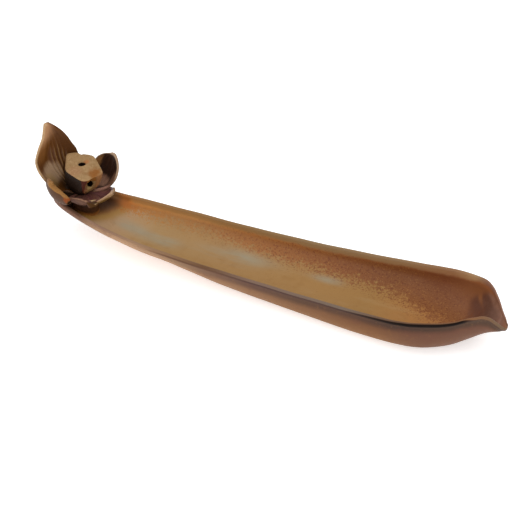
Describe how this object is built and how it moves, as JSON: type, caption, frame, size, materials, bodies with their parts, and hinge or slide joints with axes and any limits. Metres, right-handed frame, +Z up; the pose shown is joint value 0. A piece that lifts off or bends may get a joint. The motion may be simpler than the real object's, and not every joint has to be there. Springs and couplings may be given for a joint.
{
  "type": "incense burner",
  "caption": "Long leaf-shaped glazed stoneware incense tray with an open flower at its raised end and a loose faceted holder that stands a stick upright or slanted over the trough.",
  "frame": {"origin": "centre of the whole object's box, on the surface that the tray stands on", "axes": "+X along the leaf from the flower to the pinched tip, +Y to the far long side, +Z up"},
  "size_m": [0.2679, 0.0526, 0.0624],
  "materials": {
    "tray_glaze": "glossy mottled brown glaze",
    "flower_glaze": "satin dark brown glaze, tan at the rims",
    "holder_glaze": "matte tan and red-brown, dark on one facet"
  },
  "bodies": {
    "dish": {"leaf_tray": "tray_glaze", "flower_base": "flower_glaze", "back_petal": "flower_glaze", "near_left_petal": "flower_glaze", "near_right_petal": "flower_glaze", "front_petal": "flower_glaze", "far_right_petal": "flower_glaze", "far_left_petal": "flower_glaze"},
    "holder": {"stick_holder": "holder_glaze"}
  },
  "joints": [
    {"name": "holder_lift", "type": "slide", "parent": "dish", "child": "holder", "axis": [0, 0, 1], "range_m": [0, 0.05]}
  ]
}
